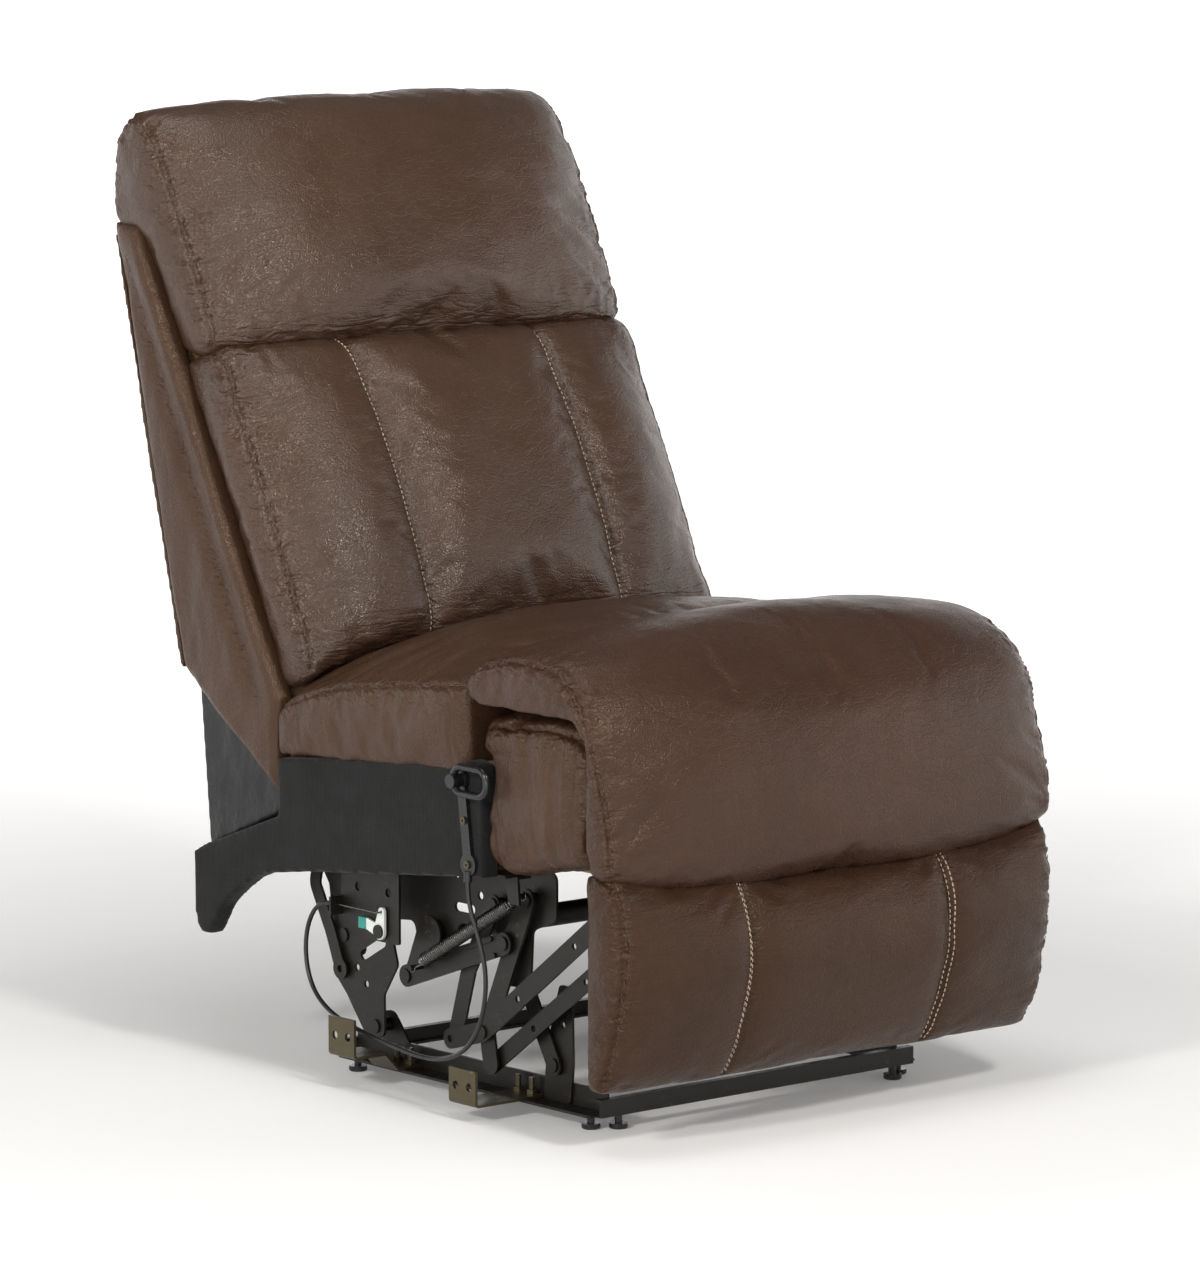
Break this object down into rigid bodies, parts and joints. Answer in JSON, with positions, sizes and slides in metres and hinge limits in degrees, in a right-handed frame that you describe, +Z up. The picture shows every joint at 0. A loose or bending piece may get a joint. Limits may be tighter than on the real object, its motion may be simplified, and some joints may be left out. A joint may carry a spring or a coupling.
{
  "type": "armless recliner",
  "caption": "Armless reclining seat of a modular sofa: padded leather seat, roll, footrest and back on a wall-hugging steel mechanism with a cable release.",
  "frame": {"origin": "on the floor, under the middle of the whole object's bounding box", "axes": "+Z up, the seat's front faces -Y, +X to the right as seen from the front; parts named left lie at -X"},
  "size_m": [0.6363, 0.92, 1.0367],
  "materials": {
    "leather": "glossy",
    "cover": "matte",
    "webbing": "matte",
    "plywood": "matte",
    "dark_steel": "satin",
    "zinc": "satin",
    "spring_steel": "glossy",
    "black_plastic": "glossy",
    "white_plastic": "satin",
    "teal_plastic": "satin"
  },
  "bodies": {
    "base": {"left_base_rail": "dark_steel", "right_base_rail": "dark_steel", "front_cross_rail": "dark_steel", "rear_cross_rail": "dark_steel", "floor_glides": "black_plastic", "front_connectors": "zinc", "rear_connectors": "zinc", "connector_bolts": "zinc", "left_front_post": "dark_steel", "right_front_post": "dark_steel"},
    "front_swing": {"swing_links": "dark_steel"},
    "cranks": {"bell_cranks": "dark_steel"},
    "seat": {"left_seat_plate": "dark_steel", "right_seat_plate": "dark_steel", "seat_angles": "dark_steel", "left_side_rail": "cover", "right_side_rail": "cover", "seat_front_rail": "plywood", "seat_rear_rail": "plywood", "seat_webbing": "webbing", "front_deck": "plywood", "seat_cushion": "leather", "front_core_pad": "leather", "front_roll": "leather", "ring_housing": "black_plastic", "housing_screws": "zinc", "release_cable": "black_plastic", "latch_bracket": "dark_steel", "spring_anchors": "dark_steel"},
    "back": {"left_back_post": "plywood", "right_back_post": "plywood", "back_cross_rails": "plywood", "back_webbing": "webbing", "head_cushion": "leather", "lumbar_cushion": "leather", "left_wing": "leather", "right_wing": "leather", "outside_back": "leather", "rear_skirt": "cover", "skirt_gussets": "cover", "back_brackets": "dark_steel"},
    "back_link": {"back_links": "dark_steel"},
    "footrest": {"footrest_board": "plywood", "footrest_pad": "leather", "footrest_brackets": "dark_steel"},
    "front_link": {"front_footrest_links": "dark_steel"},
    "rear_link": {"rear_footrest_links": "dark_steel"},
    "lower_link": {"lower_footrest_links": "dark_steel"},
    "upper_link": {"upper_footrest_links": "dark_steel"},
    "drive_link": {"drive_links": "dark_steel"},
    "tube": {"drive_tube": "dark_steel"},
    "spring": {"tension_springs": "spring_steel"},
    "ring": {"pull_ring": "black_plastic"},
    "lever": {"trip_lever": "white_plastic", "trip_tip": "teal_plastic"},
    "rod": {"trip_rod": "spring_steel"}
  },
  "joints": [
    {"name": "front_swing", "type": "hinge", "parent": "base", "child": "front_swing", "pos_m": [0, -0.214, 0.056], "axis": [1, 0, 0], "range_deg": [0, 60.05]},
    {"name": "seat_glide", "type": "hinge", "parent": "front_swing", "child": "seat", "pos_m": [0, -0.16, 0.149], "axis": [-1, 0, 0], "range_deg": [0, 60.05]},
    {"name": "crank_swing", "type": "hinge", "parent": "base", "child": "cranks", "pos_m": [0, 0.072, 0.056], "axis": [1, 0, 0], "range_deg": [0, 60.05]},
    {"name": "back_recline", "type": "hinge", "parent": "seat", "child": "back", "pos_m": [0, 0.19, 0.3], "axis": [-1, 0, 0], "range_deg": [0, 30]},
    {"name": "back_link_swing", "type": "hinge", "parent": "back", "child": "back_link", "pos_m": [0, 0.165, 0.226], "axis": [1, 0, 0], "range_deg": [0, 61.57]},
    {"name": "footrest_extend", "type": "hinge", "parent": "seat", "child": "front_link", "pos_m": [0, -0.1902, 0.2308], "axis": [-1, 0, 0], "range_deg": [0, 93.1]},
    {"name": "lower_link_swing", "type": "hinge", "parent": "front_link", "child": "lower_link", "pos_m": [0, -0.1241, 0.081], "axis": [1, 0, 0], "range_deg": [0, 94.23]},
    {"name": "footrest_turn", "type": "hinge", "parent": "lower_link", "child": "footrest", "pos_m": [0, -0.334, 0.2384], "axis": [-1, 0, 0], "range_deg": [0, 87.44]},
    {"name": "rear_link_swing", "type": "hinge", "parent": "seat", "child": "rear_link", "pos_m": [0, -0.1349, 0.2181], "axis": [-1, 0, 0], "range_deg": [0, 91.89]},
    {"name": "upper_link_swing", "type": "hinge", "parent": "front_link", "child": "upper_link", "pos_m": [0, -0.1301, 0.0471], "axis": [1, 0, 0], "range_deg": [0, 93.77]},
    {"name": "drive_tube_turn", "type": "hinge", "parent": "seat", "child": "tube", "pos_m": [0, -0.0272, 0.1728], "axis": [-1, 0, 0], "range_deg": [0, 93.17]},
    {"name": "drive_link_swing", "type": "hinge", "parent": "front_link", "child": "drive_link", "pos_m": [0, -0.1592, 0.1808], "axis": [1, 0, 0], "range_deg": [0, 93.17]},
    {"name": "spring_swing", "type": "hinge", "parent": "seat", "child": "spring", "pos_m": [0, -0.208, 0.24], "axis": [-1, 0, 0], "range_deg": [0, 9.35], "deforming": ["tension_springs"]},
    {"name": "pull_ring_lift", "type": "hinge", "parent": "seat", "child": "ring", "pos_m": [-0.313, -0.172, 0.364], "axis": [-1, 0, 0], "range_deg": [0, 30.1]},
    {"name": "trip_rod_pull", "type": "slide", "parent": "seat", "child": "rod", "axis": [0, 1, 0], "range_m": [0, 0.008]},
    {"name": "trip_lever_turn", "type": "hinge", "parent": "seat", "child": "lever", "pos_m": [-0.26, 0.018, 0.172], "axis": [-1, 0, 0], "range_deg": [0, 21.1]}
  ],
  "couplings": [
    {"joint": "front_swing", "follows": "back_recline", "ratio": 2},
    {"joint": "seat_glide", "follows": "back_recline", "ratio": 2},
    {"joint": "crank_swing", "follows": "back_recline", "ratio": 2},
    {"joint": "back_link_swing", "follows": "back_recline", "ratio": 2.0506},
    {"joint": "lower_link_swing", "follows": "footrest_extend", "ratio": 1.0114},
    {"joint": "footrest_turn", "follows": "footrest_extend", "ratio": 0.93851},
    {"joint": "rear_link_swing", "follows": "footrest_extend", "ratio": 0.98633},
    {"joint": "upper_link_swing", "follows": "footrest_extend", "ratio": 1.0065},
    {"joint": "drive_tube_turn", "follows": "footrest_extend", "ratio": 1},
    {"joint": "drive_link_swing", "follows": "footrest_extend", "ratio": 1},
    {"joint": "spring_swing", "follows": "footrest_extend", "ratio": 0.10015},
    {"joint": "pull_ring_lift", "follows": "trip_rod_pull", "rad_per_m": 65.45},
    {"joint": "trip_lever_turn", "follows": "trip_rod_pull", "rad_per_m": 45.815}
  ]
}
